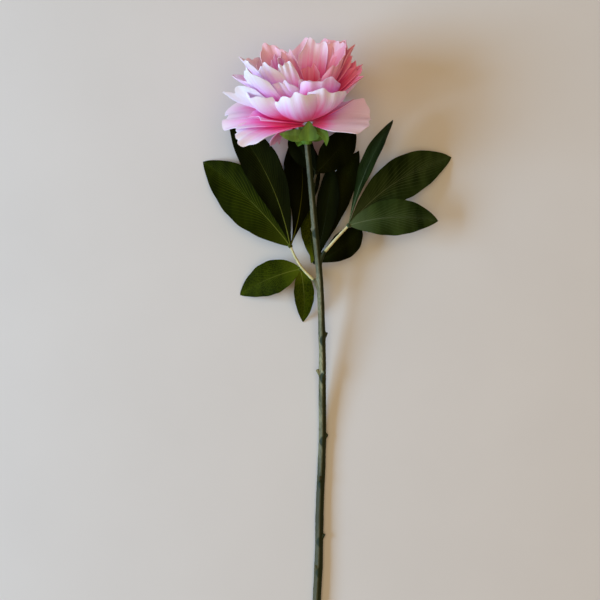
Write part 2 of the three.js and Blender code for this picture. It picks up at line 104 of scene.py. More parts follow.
def smooth_line(points, count):
    """count + 1 places at even steps along the smooth line through these points."""
    steps_between = 24
    knots = [mm(p) for p in points]
    knots = [2 * knots[0] - knots[1], *knots, 2 * knots[-1] - knots[-2]]
    fine = []
    for a, b, c, d in zip(knots, knots[1:], knots[2:], knots[3:]):
        before, here, after = [max((q - p).length ** 0.5, 1e-6) for p, q in ((a, b), (b, c), (c, d))]
        leave = ((b - a) / before - (c - a) / (before + here) + (c - b) / here) * here
        arrive = ((c - b) / here - (d - b) / (here + after) + (d - c) / after) * here
        for k in range(steps_between):
            t = k / steps_between
            fine.append(
                b * (2 * t**3 - 3 * t**2 + 1) + leave * (t**3 - 2 * t**2 + t)
                + c * (3 * t**2 - 2 * t**3) + arrive * (t**3 - t**2)
            )
    fine.append(knots[-2])
    lengths = [0.0]
    for p, q in zip(fine, fine[1:]):
        lengths.append(lengths[-1] + (q - p).length)
    places = []
    k = 0
    for j in range(count + 1):
        want = lengths[-1] * j / count
        while k < len(fine) - 2 and lengths[k + 1] < want:
            k += 1
        share = (want - lengths[k]) / (lengths[k + 1] - lengths[k])
        places.append(fine[k].lerp(fine[k + 1], share))
    return places


def rod(name, points, radius_at, sides, rings):
    """A straight rod, cut into rings and bent along a smooth line. radius_at(t) is its radius
    in metres from its start, t = 0, to its end, t = 1. rings is up to 16, or a multiple of 16."""
    bpy.ops.object.select_all(action="DESELECT")
    bpy.ops.mesh.primitive_cylinder_add(vertices=sides, radius=1, depth=2, location=(0, 0, 0))
    piece = bpy.context.object
    piece.name = name
    bpy.ops.object.mode_set(mode="EDIT")
    bpy.ops.mesh.select_all(action="DESELECT")
    bpy.ops.object.mode_set(mode="OBJECT")
    corners = piece.data.vertices
    for edge in piece.data.edges:
        low, high = [corners[k].co.z for k in edge.vertices]
        edge.select = abs(high - low) > 1
    bpy.ops.object.mode_set(mode="EDIT")
    while rings > 1:
        share = min(rings, 16)
        bpy.ops.mesh.subdivide(number_cuts=share - 1)
        rings //= share
    bpy.ops.object.mode_set(mode="OBJECT")
    places = smooth_line(points, line_steps)
    for corner in corners:
        t = (corner.co.z + 1) / 2
        k = min(line_steps - 1, int(t * line_steps))
        centre = places[k].lerp(places[k + 1], t * line_steps - k)
        along = (places[min(line_steps, k + 2)] - places[max(0, k - 1)]).normalized()
        side = along.cross(Vector((0, 0, 1))).normalized()
        over = side.cross(along)
        radius = radius_at(t)
        corner.co = centre + side * radius * corner.co.x + over * radius * corner.co.y
    return piece


def modify(piece, kind, **settings):
    """Adds a modifier with these settings, and applies it."""
    bpy.context.view_layer.objects.active = piece
    modifier = piece.modifiers.new(kind.title(), kind)
    for setting, value in settings.items():
        setattr(modifier, setting, value)
    bpy.ops.object.modifier_apply(modifier=modifier.name)


def join(name, parts):
    """Joins parts into one object."""
    bpy.ops.object.select_all(action="DESELECT")
    for part in parts:
        part.select_set(True)
    bpy.context.view_layer.objects.active = parts[0]
    bpy.ops.object.join()
    parts[0].name = name
    return parts[0]


def smooth(piece, degrees=180):
    """Smooth shading, with faces that meet more sharply than this left sharp."""
    bpy.ops.object.select_all(action="DESELECT")
    piece.select_set(True)
    bpy.context.view_layer.objects.active = piece
    bpy.ops.object.shade_smooth_by_angle(angle=math.radians(degrees))


def make_stem():
    """The stalk, its scars and its arms, melted into one skin and then ridged."""
    def taper(t):
        return stem_radius_cut + (stem_radius_neck - stem_radius_cut) * t**1.25

    parts = [rod("stalk", stem_line, taper, sides=24, rings=256)]
    for start, end, thick in scars:
        def point(t):
            return thick / 1000 * (1 - scar_thinning * t)

        parts.append(rod("scar", [start, end], point, sides=12, rings=4))
    for line in arms.values():
        parts.append(rod("arm", line, lambda t: arm_radius - arm_thinning * t, sides=14, rings=8))
    stem = join("moulded_stem", parts)
    modify(stem, "REMESH", mode="VOXEL", voxel_size=stem_skin_grain)
    modify(stem, "SMOOTH", factor=0.5, iterations=4)
    places = smooth_line(stem_line, line_steps)
    shade_and_scars = [0.0] * len(stem.data.vertices)
    k = 0
    for corner in sorted(stem.data.vertices, key=lambda v: v.co.y):
        while k < line_steps - 1 and places[k + 1].y < corner.co.y:
            k += 1
        out = corner.co - places[k]
        out.y = 0
        radius = taper(k / line_steps)
        # 1 on the stalk's own skin, and 0 on the scars and arms that stand out from it
        bare = max(0.0, 1 - max(0.0, out.length / radius - 1.25) / 0.4)
        angle = math.atan2(out.z, out.x)
        along = corner.co.y * 1000
        wander = 1.2 * noise.noise((0, along / 60, 3))
        ridge = ridge_height * math.cos(ridge_count * (angle - math.pi / 2) + wander)
        ridge += 0.012 * math.sin(13 * angle + along / 25)
        lump = 0.07 * noise.noise((corner.co.x * 120, along / 16, corner.co.z * 120))
        lump += 0.035 * noise.noise((corner.co.x * 600, along / 3, corner.co.z * 600))
        corner.co += out.normalized() * radius * bare * (ridge + lump)
        corner.co.z = max(corner.co.z, 0.0)
        # painted shade: darkest on the right side, away from the light; darker also at a scar, which is
        # the stem's own stain
        nearest = min((corner.co - mm(start)).length for start, end, thick in scars)
        shade_and_scars[corner.index] = 0.5 + 0.5 * math.cos(angle) + max(0.0, 1 - nearest / scar_stain_reach)
    stem.data.attributes.new("shade_and_scars", "FLOAT", "POINT").data.foreach_set("value", shade_and_scars)
    smooth(stem)
    return stem


def add_node(tree, kind, inputs=(), **settings):
    """A shader node with these settings. inputs maps a socket to a value or to another
    node's output."""
    made = tree.nodes.new("ShaderNode" + kind)
    for setting, value in settings.items():
        setattr(made, setting, value)
    for socket, value in dict(inputs).items():
        if isinstance(value, bpy.types.NodeSocket):
            tree.links.new(value, made.inputs[socket])
        else:
            made.inputs[socket].default_value = value
    return made


def maths(tree, operation, a, b=0.0, c=0.0, clamp=False):
    """The output of a Math node."""
    return add_node(tree, "Math", {0: a, 1: b, 2: c}, operation=operation, use_clamp=clamp).outputs[0]


def ramp(tree, factor, stops):
    """A colour that changes along these (place, colour) stops."""
    made = add_node(tree, "ValToRGB", {"Fac": factor})
    elements = made.color_ramp.elements
    while len(elements) < len(stops):
        elements.new(1.0)
    for element, (place, colour) in zip(elements, stops):
        element.position = place
        element.color = (*colour, 1)
    return made.outputs["Color"]


def blend(tree, share, a, b, blend_type="MIX"):
    """Colour a turned into colour b by a share from 0 to 1."""
    made = add_node(tree, "Mix", data_type="RGBA", blend_type=blend_type)
    for socket, value in ((0, share), (6, a), (7, b)):
        if isinstance(value, bpy.types.NodeSocket):
            tree.links.new(value, made.inputs[socket])
        else:
            made.inputs[socket].default_value = value if socket == 0 else (*value, 1)
    return made.outputs[2]


def new_material(name, **constants):
    """A material, its node tree and its shader, with the shader's constant sockets set."""
    material = bpy.data.materials.new(name)
    material.use_nodes = True
    tree = material.node_tree
    shader = tree.nodes["Principled BSDF"]
    for socket, value in constants.items():
        shader.inputs[socket.replace("_", " ")].default_value = value
    return material, tree, shader


def new_group(name, inputs, outputs):
    """An empty shader node group with number inputs and outputs."""
    tree = bpy.data.node_groups.new(name, "ShaderNodeTree")
    for socket, value in inputs.items():
        made = tree.interface.new_socket(socket, in_out="INPUT", socket_type="NodeSocketFloat")
        made.default_value = value
    for socket in outputs:
        tree.interface.new_socket(socket, in_out="OUTPUT", socket_type="NodeSocketFloat")
    return tree, tree.nodes.new("NodeGroupInput").outputs, tree.nodes.new("NodeGroupOutput").inputs


def model_place(tree):
    """Where a point lies in the model: X, Y and Z."""
    return add_node(tree, "SeparateXYZ", {0: add_node(tree, "TexCoord").outputs["Object"]}).outputs


def attribute(tree, name):
    """A number that the mesh carries."""
    return add_node(tree, "Attribute", attribute_name=name).outputs["Fac"]


def growing_share(tree, value, none_at, most_at, most=1.0):
    """A share that grows from 0, where value is none_at, to most, where it is most_at."""
    limits = {"Value": value, 1: none_at, 2: most_at, 3: 0.0, 4: most}
    return add_node(tree, "MapRange", limits).outputs[0]


def emboss(tree, shader, height, strength, distance):
    """Raises the surface by a height of up to distance, in metres."""
    bump = add_node(tree, "Bump", {"Strength": strength, "Distance": distance, "Height": height})
    tree.links.new(bump.outputs[0], shader.inputs["Normal"])


def mottling_group():
    """Soft patches and fine grain, stretched along the stem, as moulded plastic and its paint
    have. Both outputs run from 0 to 1."""
    tree, given, out = new_group("mottling", {"Patches": 60.0, "Grain": 900.0}, ["Patches", "Grain"])
    place = add_node(tree, "TexCoord").outputs["Object"]
    stretched = add_node(tree, "Mapping", {"Vector": place, "Scale": (1.0, 0.22, 1.0)}).outputs[0]
    for which, detail in (("Patches", 3.0), ("Grain", 2.0)):
        inputs = {"Vector": stretched, "Scale": given[which], "Detail": detail}
        tree.links.new(add_node(tree, "TexNoise", inputs).outputs[0], out[which])
    return tree


mottling = mottling_group()


def mottled(tree, patches, grain):
    """The two outputs of the mottling, at these scales."""
    return add_node(tree, "Group", {"Patches": patches, "Grain": grain}, node_tree=mottling).outputs


def stem_paint():
    """Grey-green satin paint, browner towards the cut end, and darker in patches and at the scars.
    Painted shade makes it darker towards the bloom, where the leaves shade it, and along its right
    side, away from the light."""
    cut_brown = (0.052, 0.050, 0.022)
    leaf_shadow_green = (0.030, 0.034, 0.016)
    shade_and_scar_green = (0.012, 0.020, 0.003)
    material, tree, shader = new_material("stem paint", Roughness=0.5, Specular_IOR_Level=0.18)
    marks = mottled(tree, 75.0, 1300.0)
    patches = ramp(tree, marks["Patches"], [
        (0.34, (0.062, 0.070, 0.028)),
        (0.48, (0.300, 0.285, 0.150)),
        (0.62, (0.490, 0.460, 0.270)),
    ])
    streaks = ramp(tree, marks["Grain"], [
        (0.36, (0.46, 0.48, 0.42)),
        (0.60, (1.00, 1.00, 1.00)),
    ])
    paint = blend(tree, 1.0, patches, streaks, "MULTIPLY")
    along = model_place(tree)["Y"]
    paint = blend(tree, growing_share(tree, along, 0.0, -0.14, 0.85), paint, cut_brown)
    # painted shadow of the leaves, darkening the stem towards the bloom
    paint = blend(tree, growing_share(tree, along, 0.03, 0.08, 0.72), paint, leaf_shadow_green)
    # painted shade along the right side, away from the light, and the scars' own darker stain
    shade_and_scar_share = growing_share(tree, attribute(tree, "shade_and_scars"), 0.44, 0.66, 0.94)
    paint = blend(tree, shade_and_scar_share, paint, shade_and_scar_green)
    tree.links.new(paint, shader.inputs["Base Color"])
    emboss(tree, shader, marks["Grain"], strength=0.35, distance=0.0003)
    return material


stem = make_stem()
stem.data.materials.append(stem_paint())
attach(stem, "root")
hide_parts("stem")


# Leaf stalks
# Four slim pegs of pale yellow plastic, pushed into the arms of the stem. Each has a small collar
# where it leaves its arm, and carries a leaf at its end. The left one carries a low leaf as well.

stalk_thinning = 0.2
collar_place = 0.14
collar_height = 0.14
collar_width = 0.03
ring_height = 0.03
stalks = {
    # the line that it follows, and its radius, in millimetres
    "left": (
        [(-11.6, 70.2, 22.8), (-23.2, 82.3, 22.4), (-29.0, 91.5, 21.6), (-33.6, 101.6, 20.6)], 1.35
    ),
    "right": ([(-4.5, 95.0, 27.6), (6.9, 108.0, 29.6), (17.6, 119.4, 30.4)], 1.4),
    "back": ([(-8.4, 80.6, 20.6), (-9.8, 84.0, 17.0), (-11.3, 87.2, 14.4)], 1.3),
    "upper": ([(-13.4, 153.4, 36.2), (-12.2, 159.4, 34.4), (-10.6, 165.2, 32.8)], 1.2),
}


def make_stalk(name, points, thick):
    """A peg that thins towards its leaf, slightly ringed."""
    def radius_at(t):
        collar = collar_height * math.exp(-(((t - collar_place) / collar_width) ** 2))
        rings = ring_height * math.sin(46 * t)
        return thick / 1000 * (1 - stalk_thinning * t) * (1 + collar + rings)

    stalk = rod(name, points, radius_at, sides=14, rings=48)
    smooth(stalk, 60)
    return stalk


def stalk_plastic():
    """Pale yellow plastic with greener patches, and dark green on the upper stalk."""
    upper_green = (0.020, 0.022, 0.010)
    material, tree, shader = new_material("stalk plastic", Roughness=0.45)
    marks = mottled(tree, 140.0, 1500.0)
    plastic = ramp(tree, marks["Patches"], [
        (0.32, (0.36, 0.36, 0.13)),
        (0.50, (0.60, 0.55, 0.27)),
        (0.70, (0.74, 0.69, 0.42)),
    ])
    upper = growing_share(tree, model_place(tree)["Y"], 0.13, 0.15, 0.93)
    tree.links.new(blend(tree, upper, plastic, upper_green), shader.inputs["Base Color"])
    emboss(tree, shader, marks["Grain"], strength=0.3, distance=0.0002)
    return material


pale_plastic = stalk_plastic()
for name, (points, thick) in stalks.items():
    stalk = make_stalk(f"stalk_{name}", points, thick)
    stalk.data.materials.append(pale_plastic)
    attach(stalk, "root")
    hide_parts(f"leaf_stalk_{name}")


# Leaves
# Pointed leaflets cut from stiffened dark green cloth, folded a little along the midrib and
# pressed with side veins. A thin rib is glued along each, and a small knuckle joins them at the
# end of a stalk.

leaf_thickness = 0.00035
leaf_fold = math.radians(7)
rib_radius = 0.00045
rib_thinning = 0.8
rib_lift = 0.0001
rib_points = 12
knuckle_radius = 0.0021
leaves = {
    # Where the leaflets of a leaf meet, and then the leaflets. rise lifts a leaflet's root above
    # its neighbours, bow swings its middle to the left of the way that it points, arch lifts its
    # middle, and neck is half the width of its root, all in millimetres. roll turns it about its
    # midrib, in degrees, and widest is how far along it is broadest. tone is 1 or more for the full
    # dye, and a low tone is painted shade, nearly black, on the leaflets that lie in shade.
    "left": ((-33.6, 101.6, 20.2), [
        {"tip": (-112.2, 178.4, 0.4), "width": 47, "widest": 0.5, "bow": -4.3, "arch": 3, "roll": -6,
         "tone": 0.55},
        {"tip": (-88.5, 216.0, 13.0), "width": 33, "widest": 0.6, "rise": 1.4, "bow": -8.5, "arch": 4,
         "roll": -4, "tone": 0.08},
        {"tip": (-27.7, 203.5, 6.0), "width": 33, "widest": 0.68, "rise": -1.2, "bow": -7.5, "arch": -3,
         "roll": 4, "tone": 0.03},
    ]),
    "low": ((-24.4, 81.4, 20.5), [
        {"tip": (-78.9, 58.5, 0.4), "width": 30, "widest": 0.45, "bow": -3, "arch": 4, "roll": 6,
         "tone": 0.85},
        {"tip": (-22.3, 34.2, 0.4), "width": 18, "widest": 0.45, "bow": 2, "arch": 5, "roll": -6,
         "tone": 0.95},
    ]),
    "right": ((17.6, 119.4, 30.4), [
        {"tip": (97.5, 124.0, 17.0), "width": 32, "widest": 0.5, "rise": 0.7, "bow": 5, "arch": 5,
         "roll": 3, "tone": 0.95},
        {"tip": (111.2, 182.2, 0.4), "width": 37, "widest": 0.58, "rise": -0.5, "bow": 8.8, "arch": 4,
         "roll": 2, "tone": 0.85},
        {"tip": (56.9, 212.5, 26.0), "width": 26, "widest": 0.66, "bow": 4.5, "arch": 5, "roll": -62,
         "tone": 0.5},
    ]),
    "back": ((-11.5, 87.5, 14.0), [
        {"tip": (-18.5, 148.0, 3.0), "width": 17, "widest": 0.5, "bow": 1, "arch": 0, "roll": -8,
         "neck": 4, "tone": 1.2},
        {"tip": (2.6, 176.0, 9.0), "width": 20, "widest": 0.6, "bow": -3, "arch": 3, "roll": -8,
         "tone": 0.02},
        {"tip": (27.9, 187.8, 5.0), "width": 24, "widest": 0.6, "bow": 3, "arch": 0, "roll": 8,
         "tone": 0.12},
        {"tip": (29.4, 119.7, 12.0), "width": 24, "widest": 0.6, "bow": -4, "arch": 2, "roll": 4,
         "tone": 0.08},
    ]),
    "upper": ((-10.6, 165.2, 32.8), [
        {"tip": (23.6, 206.0, 17.5), "width": 28, "widest": 0.5, "bow": -1, "arch": 1, "roll": 6,
         "tone": 0.08},
        {"tip": (-31.0, 207.0, 14.0), "width": 22, "widest": 0.55, "bow": 2, "arch": 0, "roll": -6,
         "tone": 0.0},
    ]),
}


def sheet(name, across, along, place, thickness, tone):
    """A flat piece of cloth, moved into its form. place(u, s) says where the point goes that is u
    across, from -1 to 1, and s along, from 0 to 1. It is then smoothed and given its thickness."""
    bpy.ops.object.select_all(action="DESELECT")
    bpy.ops.mesh.primitive_grid_add(x_subdivisions=across, y_subdivisions=along, size=2)
    piece = bpy.context.object
    piece.name = name
    for corner in piece.data.vertices:
        corner.co = place(corner.co.x, (corner.co.y + 1) / 2)
    shade = piece.data.attributes.new("tone", "FLOAT", "POINT")
    shade.data.foreach_set("value", [tone] * len(piece.data.vertices))
    modify(piece, "SUBSURF", levels=1, render_levels=1)
    modify(piece, "SOLIDIFY", thickness=thickness, offset=0.0)
    return piece


class Blade:
    """The form of a pointed leaflet or sepal."""

    def __init__(self, base, tip, width, widest, bow, arch, roll, tone, fold=leaf_fold, neck=0.75,
                 rise=0.0, waves=1.0):
        self.base = mm(base) + Vector((0, 0, rise / 1000))
        self.tip = mm(tip)
        straight = (self.tip - self.base).normalized()
        rightward = straight.cross(Vector((0, 0, 1))).normalized()
        aside = rightward * -0.002 * bow
        self.middle = (self.base + self.tip) / 2 + aside + Vector((0, 0, 0.002 * arch))
        self.width = width / 1000
        self.skew = math.log(0.5) / math.log(widest)
        self.roll = math.radians(roll)
        self.fold = fold
        self.neck = neck / 1000
        self.tone = tone
        self.waves = waves
        self.phase = (tip[0] * 3.7 + tip[1]) / 10

    def midrib(self, s):
        """The point of the midrib at s, and the directions along, to the side and up."""
        point = self.base * (1 - s) ** 2 + self.middle * 2 * s * (1 - s) + self.tip * s**2
        along = ((self.middle - self.base) * (1 - s) + (self.tip - self.middle) * s).normalized()
        side = along.cross(Vector((0, 0, 1))).normalized()
        side.rotate(Matrix.Rotation(self.roll, 3, along))
        return point, along, side, side.cross(along)

    def half(self, s):
        """Half of its width at s."""
        outline = self.width / 2 * max(0.0, math.sin(math.pi * s**self.skew)) ** 0.8
        outline *= 1 + self.waves * 0.015 * math.sin(31 * s + self.phase)
        return max(self.neck * (1 - s) + 0.0001 * s, outline)

    def place(self, u, s):
        """Where a point of the sheet lies. The rows crowd towards the midrib."""
        u = math.copysign(abs(u) ** 1.25, u)
        point, along, side, over = self.midrib(s)
        half = self.half(s)
        lift = abs(u) * half * math.tan(self.fold)
        # nine shallow pleats on each side, pressed along the side veins
        pleat = math.cos(2 * math.pi * 9 * (s - 0.42 * abs(u) ** 1.2 + 0.055 * (u > 0)))
        lift += self.waves * 0.00007 * pleat * min(1, 3 * abs(u)) * (1 - abs(u)) * min(1, half / 0.006)
        # the waves of its edge
        edge = math.sin(9 * s + self.phase + 2.0 * u) + 0.5 * math.sin(21 * s + 2 * self.phase - u)
        lift += self.waves * 0.05 * half * u * u * edge
        found = point + side * u * half + over * lift
        found.z = max(found.z, leaf_thickness / 2)
        return found


def make_leaf(name, hub, blades, cloth, rib_dye):
    """The leaflets of one leaf, their ribs, and the knuckle that joins them."""
    leaflets = []
    ribs = []
    for row in blades:
        form = Blade(base=hub, **row)
        leaflets.append(sheet("leaflet", 16, 36, form.place, leaf_thickness, form.tone))
        line = []
        for k in range(rib_points):
            point, along, side, over = form.midrib(k / rib_points)
            line.append((point + over * rib_lift) * 1000)
        ribs.append(rod("rib", line, lambda t: rib_radius * (1 - rib_thinning * t), sides=6, rings=32))
    bpy.ops.object.select_all(action="DESELECT")
    bpy.ops.mesh.primitive_uv_sphere_add(
        segments=16, ring_count=12, radius=knuckle_radius, location=mm(hub)
    )
    knuckle = bpy.context.object
    bpy.ops.object.transform_apply(location=True)
    for part in leaflets:
        part.data.materials.append(cloth)
    for part in [*ribs, knuckle]:
        part.data.materials.append(rib_dye)
    leaf = join(name, [*leaflets, *ribs, knuckle])
    smooth(leaf, 50)
    return leaf


def sheet_place(tree):
    """Where a point lies on its own sheet or rod: X across and Y along, from 0 to 1."""
    return add_node(tree, "SeparateXYZ", {0: add_node(tree, "UVMap").outputs[0]}).outputs


def blade_veins_group():
    """Side veins that run from the midrib towards the tip and fade. Veins is 1 on a vein, and
    Between swells from vein to vein."""
    tree, given, out = new_group(
        "blade veins", {"Count": 9.0, "Slant": 0.3, "Width": 0.06}, ["Veins", "Between"]
    )
    place = sheet_place(tree)
    across = maths(tree, "MULTIPLY_ADD", place["X"], 2.0, -1.0)
    aside = maths(tree, "ABSOLUTE", across)
    right = maths(tree, "MULTIPLY", maths(tree, "GREATER_THAN", across, 0.0), 0.055)
    curved = maths(tree, "MULTIPLY", maths(tree, "POWER", aside, 0.85), given["Slant"])
    start = maths(tree, "ADD", maths(tree, "SUBTRACT", place["Y"], curved), right)
    turn = maths(tree, "FRACT", maths(tree, "MULTIPLY", start, given["Count"]))
    off = maths(tree, "MULTIPLY", maths(tree, "ABSOLUTE", maths(tree, "SUBTRACT", turn, 0.5)), 2.0)
    thin = maths(tree, "MULTIPLY", given["Width"], maths(tree, "SUBTRACT", 1.25, aside))
    line = maths(tree, "SUBTRACT", 1.0, maths(tree, "DIVIDE", off, thin), clamp=True)
    tree.links.new(maths(tree, "MULTIPLY", line, maths(tree, "SUBTRACT", 1.1, aside)), out["Veins"])
    tree.links.new(off, out["Between"])
    return tree


blade_veins = blade_veins_group()


def leaf_material(name, dark, light, vein, slant, count, net):
    """Green cloth with a slight gloss and fine paler veins, count of them on each side. Each
    leaflet's tone turns it from painted shade, nearly black, to its dye, which runs from dark to
    light in patches. The lightest leaflets are paler at the root, and netted with small veins by
    the share net."""
    material, tree, shader = new_material(name, Roughness=0.5, Specular_IOR_Level=0.01)
    marks = mottled(tree, 90.0, 700.0)
    tone = attribute(tree, "tone")
    # painted shade: the nearly black colour of the leaflets with a low tone
    shaded = ramp(tree, marks["Patches"], [
        (0.3, (0.0014, 0.0016, 0.0003)),
        (0.7, (0.0048, 0.0060, 0.0010)),
    ])
    dyed = ramp(tree, marks["Patches"], [(0.3, dark), (0.7, light)])
    green = blend(tree, tone, shaded, dyed)
    large = {"Count": count, "Slant": slant, "Width": 0.30}
    veins = add_node(tree, "Group", large, node_tree=blade_veins).outputs
    small = {"Count": 3 * count, "Slant": slant, "Width": 0.35}
    veinlets = add_node(tree, "Group", small, node_tree=blade_veins).outputs
    strength = maths(tree, "MULTIPLY_ADD", tone, 0.6, 0.07)
    faded = maths(tree, "MULTIPLY", strength, maths(tree, "POWER", marks["Patches"], 2.0))
    green = blend(tree, maths(tree, "MULTIPLY", veins["Veins"], strength), green, vein)
    green = blend(tree, maths(tree, "MULTIPLY", veinlets["Veins"], faded), green, vein)
    cells = {"Vector": add_node(tree, "TexCoord").outputs["Object"], "Scale": 420.0}
    edges = add_node(tree, "TexVoronoi", cells, feature="DISTANCE_TO_EDGE").outputs[0]
    lightest = growing_share(tree, tone, 0.7, 1.0, net)
    netted = maths(tree, "MULTIPLY", growing_share(tree, edges, 0.14, 0.0), lightest)
    green = blend(tree, netted, green, vein)
    near_root = growing_share(tree, sheet_place(tree)["Y"], 0.30, 0.0, 0.75)
    rooted = maths(tree, "MULTIPLY", near_root, maths(tree, "POWER", tone, 2.0))
    green = blend(tree, rooted, green, vein)
    tree.links.new(green, shader.inputs["Base Color"])
    height = maths(tree, "MULTIPLY", marks["Grain"], 0.5)
    height = maths(tree, "MULTIPLY_ADD", veins["Between"], 0.25, height)
    height = maths(tree, "MULTIPLY_ADD", veinlets["Between"], 0.12, height)
    emboss(tree, shader, height, strength=0.5, distance=0.0004)
    return material


def rib_material(name, colour):
    """The dye of the ribs and of the knuckle that they spring from, darker towards their tips."""
    material, tree, shader = new_material(name, Roughness=0.6, Specular_IOR_Level=0.05)
    darkening = ramp(tree, sheet_place(tree)["Y"], [
        (0.45, (1.00, 1.00, 1.00)),
        (0.70, (0.55, 0.55, 0.60)),
        (1.00, (0.12, 0.13, 0.15)),
    ])
    tree.links.new(blend(tree, 1.0, darkening, colour, "MULTIPLY"), shader.inputs["Base Color"])
    return material


warm_cloth = leaf_material(
    "leaf cloth",
    dark=(0.007, 0.011, 0.0003),
    light=(0.025, 0.038, 0.0005),
    vein=(0.115, 0.150, 0.007),
    slant=0.45,
    count=19.0,
    net=0.3,
)
# painted sheen: the right leaves' bluer, greyer green stands in for the sheen of the cool window light,
# over their green dye
cloth_with_painted_sheen = leaf_material(
    "leaf cloth with painted sheen",
    dark=(0.008, 0.016, 0.002),
    light=(0.034, 0.058, 0.013),
    vein=(0.105, 0.150, 0.067),
    slant=0.62,
    count=11.0,
    net=0.0,
)
yellow_ribs = rib_material("yellow ribs", (0.150, 0.170, 0.018))
cool_ribs = rib_material("cool ribs", (0.150, 0.200, 0.090))
dark_ribs = rib_material("dark ribs", (0.016, 0.020, 0.004))
leaf_dyes = {
    "left": (warm_cloth, yellow_ribs),
    "low": (warm_cloth, yellow_ribs),
    "right": (cloth_with_painted_sheen, cool_ribs),
    "back": (warm_cloth, dark_ribs),
    "upper": (warm_cloth, dark_ribs),
}
for name, (hub, blades) in leaves.items():
    leaf = make_leaf(f"leaflets_{name}", hub, blades, *leaf_dyes[name])
    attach(leaf, "root")
    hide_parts(f"leaf_{name}")


# Calyx
# A small flared cup of bright green plastic that grips the neck of the stem, with five stiff
# folded sepals round the foot of the petals. Two of the sepals lie under it.

sepal_thickness = 0.0007
cup_foot_radius = 0.0034
cup_flare = 0.0044
cup_line = [(-19.0, 189.2, 43.2), (-19.0, 196.0, 44.6), (-18.5, 204.4, 46.6)]
sepal_defaults = {
    "widest": 0.37, "bow": 0, "arch": 0, "roll": 0, "tone": 0.5, "fold": math.radians(11), "waves": 0.6,
}
sepals = [
    {"base": (-19.0, 196.0, 50.5), "tip": (-42.7, 196.8, 52.5), "width": 11, "bow": 1, "arch": 1,
     "roll": 4},
    {"base": (-13.0, 201.0, 51.0), "tip": (-2.5, 186.5, 53.5), "width": 8, "bow": 4, "arch": 3,
     "roll": -10},
    {"base": (-17.2, 191.0, 50.5), "tip": (-17.4, 207.6, 57.0), "width": 17, "widest": 0.24},
    {"base": (-14.5, 199.0, 42.0), "tip": (-4.0, 196.0, 26.0), "width": 12, "roll": 30},
    {"base": (-22.5, 198.0, 42.0), "tip": (-27.0, 189.0, 30.0), "width": 10, "roll": -30},
]


def make_calyx():
    """The cup and its sepals."""
    def flare(t):
        return cup_foot_radius + cup_flare * math.sin(math.pi / 2 * t**0.8)

    parts = [rod("cup", cup_line, flare, sides=30, rings=16)]
    for row in sepals:
        form = Blade(**{**sepal_defaults, **row})
        parts.append(sheet("sepal", 10, 16, form.place, sepal_thickness, form.tone))
    calyx = join("calyx_cup", parts)
    smooth(calyx, 50)
    return calyx


def calyx_plastic():
    """Bright green plastic with darker and paler patches."""
    material, tree, shader = new_material("calyx green", Roughness=0.55)
    marks = mottled(tree, 150.0, 1400.0)
    plastic = ramp(tree, marks["Patches"], [
        (0.30, (0.060, 0.150, 0.010)),
        (0.52, (0.120, 0.280, 0.022)),
        (0.72, (0.220, 0.420, 0.060)),
    ])
    tree.links.new(plastic, shader.inputs["Base Color"])
    emboss(tree, shader, marks["Grain"], strength=0.4, distance=0.0003)
    return material


calyx = make_calyx()
calyx.data.materials.append(calyx_plastic())
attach(calyx, "root")
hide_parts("calyx")


# Bloom
# Layers of petals cut from thin dyed cloth, deep pink at the root and pale lilac at the rim,
# pressed into cups and crimped along the rim. They are threaded one layer on the other over a
# small hidden head.

petal_thickness = 0.0005
petal_root_out = 5
bloom_base = mm((-18.5, 205.8, 47.0))
bloom_rise = math.radians(24)
bloom_lean = math.radians(-11)
bloom_right = Vector((math.cos(bloom_lean), -math.sin(bloom_lean), 0))
bloom_axis = (
    Vector((math.sin(bloom_lean), math.cos(bloom_lean), 0)) * math.cos(bloom_rise)
    + Vector((0, 0, math.sin(bloom_rise)))
)
bloom_upper = bloom_right.cross(bloom_axis)
